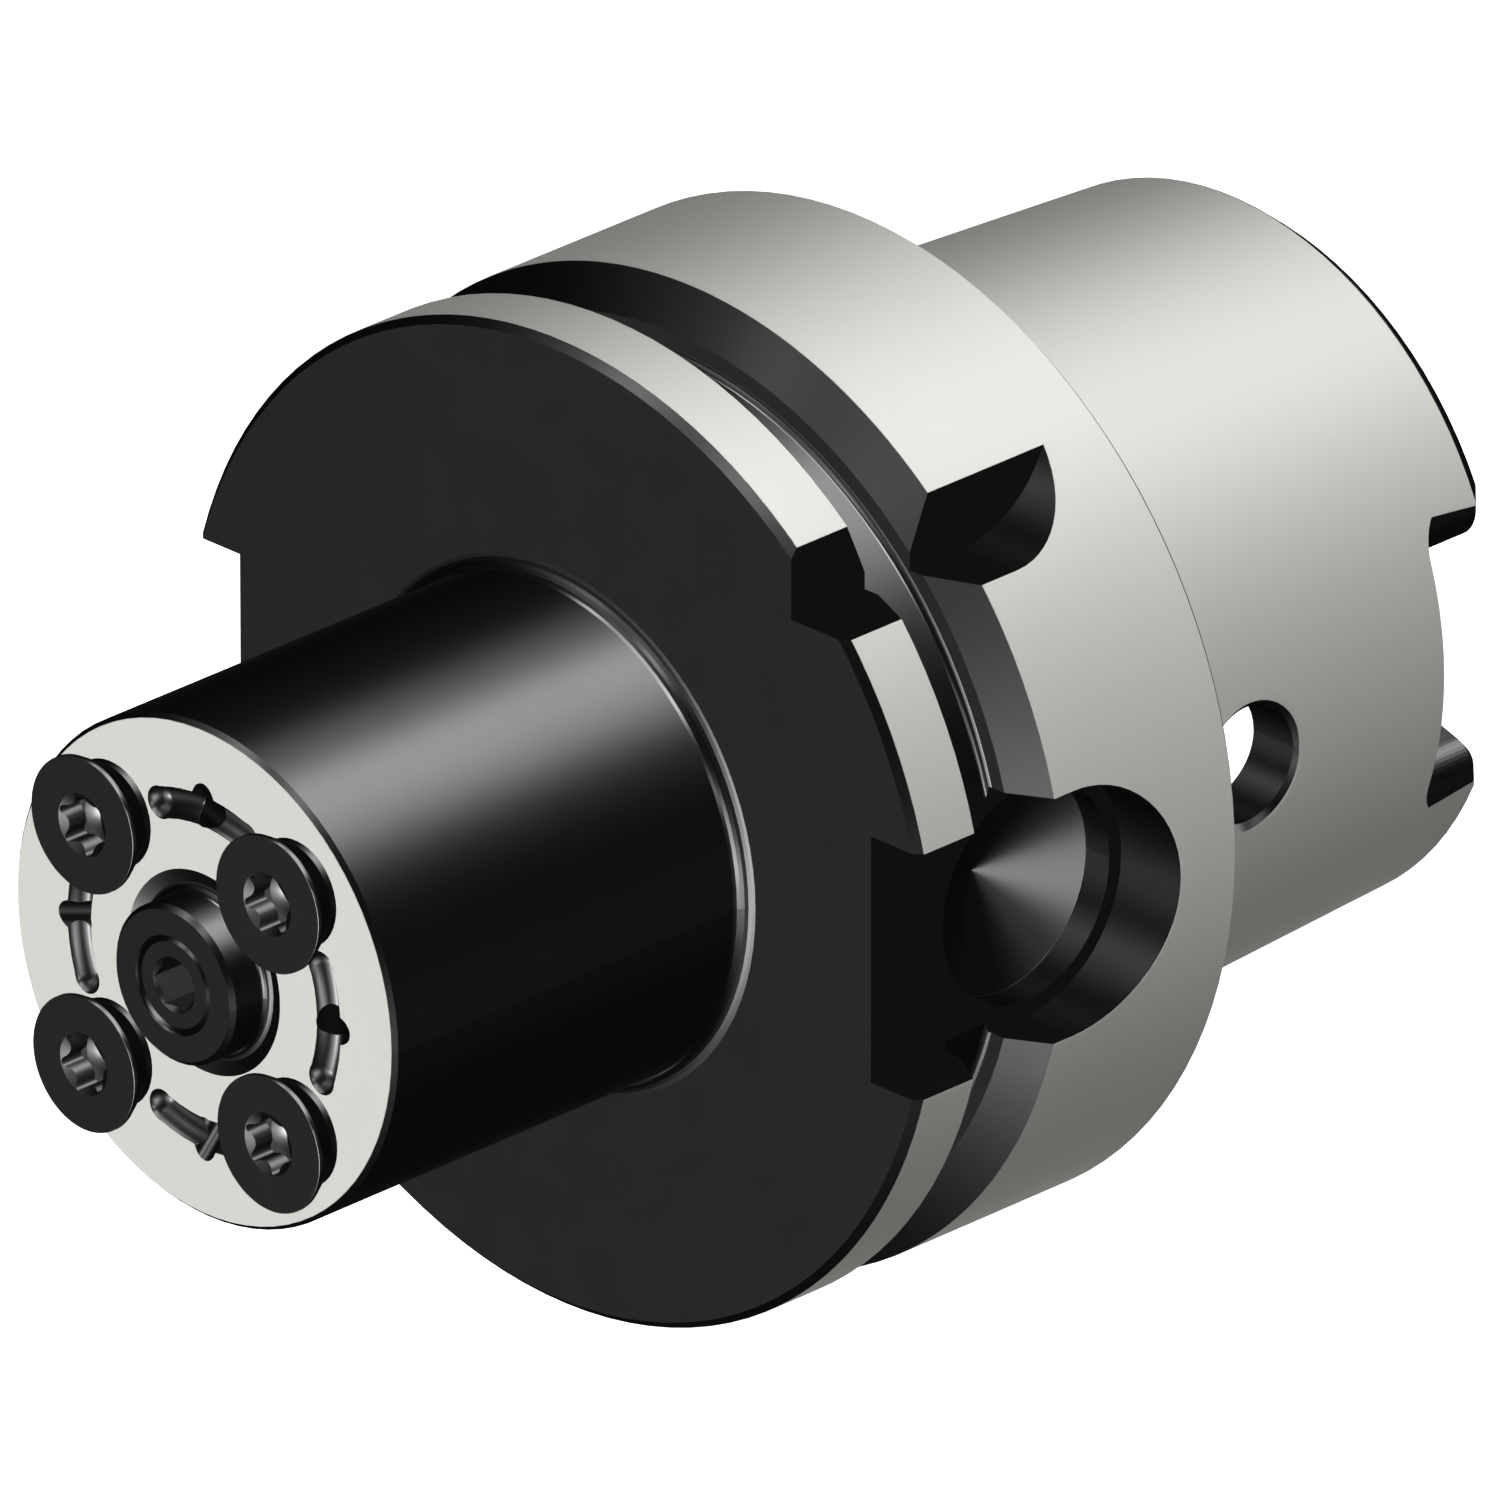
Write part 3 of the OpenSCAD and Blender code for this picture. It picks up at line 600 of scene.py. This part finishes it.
# %% Plug screw
PLUG_TOP, PLUG_SOCKET_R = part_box("plug_screw")[1].z * 1000, 0.00176
PLUG_LENGTH, PLUG_CHAMFER = 6, 0.3
angle, outline = HEXAGON
rings = threaded_end(PLUG_LENGTH, -PLUG_CHAMFER - 0.05, 0.75, angle) + [
    plain_rings([(THREAD_R, -PLUG_CHAMFER), (THREAD_R - PLUG_CHAMFER, 0)], angle),
    socket_rings(outline, 0.0, slope=1.0, depth=3.0, pilot_r=1.45, point=0.0),
]
plug = skin("plug_skin", angle, rings, (0.0, 0.0, PLUG_TOP), 0.0)
plug.data.materials.append(facing_oxide("plug_oxide", AXIS, PLUG_SOCKET_R))
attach(plug, "plug")
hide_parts("plug_screw")
print(plug.name, len(plug.data.polygons), "faces")

# %% [markdown]
# ## The floor
# A white plane lies a hair under the lowest point, so that the two never share a plane. It glows
# of its own, so that it stays white however the light falls, as a lit table in a studio does.

# %% White table
low, side = cad_box[0][2] - 0.00005, 6.0
corners = [(-side, -side, low), (side, -side, low), (side, side, low), (-side, side, low)]
floor_mesh = bpy.data.meshes.new("pale_floor")
floor_mesh.from_pydata(corners, [], [(0, 1, 2, 3)])
floor = bpy.data.objects.new("pale_floor", floor_mesh)
bpy.context.scene.collection.objects.link(floor)
floor_finish, tree, shader = new_material("pale_floor")
feed(tree, shader, Base_Color=(0.9, 0.9, 0.9, 1.0), Roughness=0.9,
     Emission_Color=(1.0, 1.0, 1.0, 1.0), Emission_Strength=1.0)
floor_mesh.materials.append(floor_finish)
floor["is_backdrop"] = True
print("floor at", round(1000 * low, 2), "mm")

# %% [markdown]
# ## The light
# Steel has no colour of its own and shows the room. The photograph's flat faces each have one even
# tone, so its light comes from soft boxes all round. Each lamp here is a round glow in the sky of
# the world: a direction, how tightly it is gathered, and its strength. The list was fitted to the
# tones of the photograph's faces, whose normals are known from the solids.

# %% Soft lamps all round
world = bpy.data.worlds.new("soft_studio")
world.use_nodes = True
bpy.context.scene.world = world
tree = world.node_tree
tree.nodes.clear()
sky = node(tree, "ShaderNodeTexCoord", {}, out=0)


def soft_lamp(direction, sharp, strength):
    """A round glow in one direction of the sky: strength * e^(sharp * (cosine - 1)).

    The same is e^(sharp * cosine + log(strength) - sharp), which takes fewer nodes.
    """
    aim = tuple(sharp * Vector(direction).normalized())
    cosine = node(tree, "ShaderNodeVectorMath", {"operation": "DOT_PRODUCT"}, sky, aim, out=1)
    return (cosine + (math.log(strength) - sharp)).math("EXPONENT")


print("lamp formula ready")

# %% [markdown]
# Each row below is one lamp: the direction it stands in, its sharpness and its strength, with the
# strongest first. ROOM is what the rest of the room gives from everywhere.

# %% The lamps' places
ROOM = 0.0020
LAMPS = [
    ((-0.275, -0.386, 0.880), 104.3, 21.136),
    ((0.909, 0.341, -0.240), 116.6, 6.576),
    ((-0.344, 0.840, -0.419), 121.5, 5.361),
    ((0.472, 0.797, -0.375), 97.9, 4.863),
    ((0.985, -0.149, 0.089), 57.0, 3.829),
    ((0.568, 0.798, -0.200), 121.5, 3.234),
    ((0.023, -0.466, 0.885), 28.8, 2.792),
    ((0.890, -0.261, 0.375), 34.1, 2.731),
    ((0.979, 0.141, 0.151), 73.7, 2.580),
    ((0.101, 0.855, -0.509), 18.3, 2.550),
    ((0.375, 0.316, -0.872), 68.8, 2.325),
    ((0.156, 0.824, 0.545), 93.3, 2.180),
    ((-0.407, 0.682, 0.608), 110.1, 1.444),
    ((0.290, 0.843, -0.454), 27.6, 1.401),
    ((-0.025, 0.688, 0.726), 118.4, 1.347),
    ((0.905, -0.411, -0.111), 95.7, 1.171),
    ((0.054, -0.120, 0.991), 35.0, 1.115),
    ((0.008, 0.961, -0.276), 25.1, 1.051),
    ((-0.339, -0.860, -0.382), 121.5, 0.989),
    ((-0.076, 0.420, 0.905), 52.0, 0.754),
    ((0.220, -0.327, 0.919), 57.2, 0.684),
    ((0.938, -0.293, 0.183), 11.1, 0.661),
    ((-0.005, 0.813, -0.582), 121.5, 0.644),
    ((-0.395, 0.462, 0.794), 121.5, 0.584),
    ((-0.226, -0.625, 0.747), 25.7, 0.534),
    ((-0.365, 0.814, 0.453), 17.4, 0.489),
    ((-0.463, -0.148, 0.874), 21.2, 0.275),
    ((-0.563, 0.552, 0.615), 35.1, 0.181),
    ((-0.008, 0.865, 0.502), 6.4, 0.145),
    ((0.915, -0.312, -0.257), 11.1, 0.087),
    ((0.555, -0.653, 0.516), 8.7, 0.086),
    ((-0.836, -0.528, 0.153), 9.7, 0.047),
    ((-0.803, 0.434, -0.407), 9.5, 0.045),
    ((-0.205, 0.215, -0.955), 8.0, 0.040),
    ((0.020, -0.838, -0.545), 11.0, 0.031),
    ((-0.205, -0.952, 0.228), 7.7, 0.027),
    ((-0.511, 0.198, 0.836), 7.9, 0.025),
    ((-0.171, -0.317, -0.933), 9.8, 0.017),
    ((0.588, 0.269, 0.763), 8.1, 0.016),
    ((-0.937, 0.290, -0.196), 9.4, 0.013),
    ((0.395, -0.292, -0.871), 10.5, 0.010),
    ((-0.641, -0.423, 0.641), 40.0, 0.024),
]
glow = soft_lamp(*LAMPS[0]) + ROOM
for lamp in LAMPS[1:]:
    glow = glow + soft_lamp(*lamp)
backdrop = tree.nodes.new("ShaderNodeBackground")
backdrop.inputs["Color"].default_value = (1.0, 1.0, 1.0, 1.0)
tree.links.new(glow.socket, backdrop.inputs["Strength"])
output = tree.nodes.new("ShaderNodeOutputWorld")
tree.links.new(backdrop.outputs[0], output.inputs[0])
bpy.context.scene.view_settings.view_transform = "Standard"
print("lamps:", len(LAMPS))

# %% [markdown]
# ## Even tones
# In the photograph the faces reflect the soft boxes and never each other: the inside of a hole is
# as bright as an open face that looks the same way. The pieces and the floor are therefore hidden
# from reflections and cast no shadow on one another. Hollow places are lit as if they were open.

# %% Hide the pieces from each other's reflections
for thing in [floor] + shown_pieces():
    thing.visible_glossy = False
    thing.visible_shadow = False
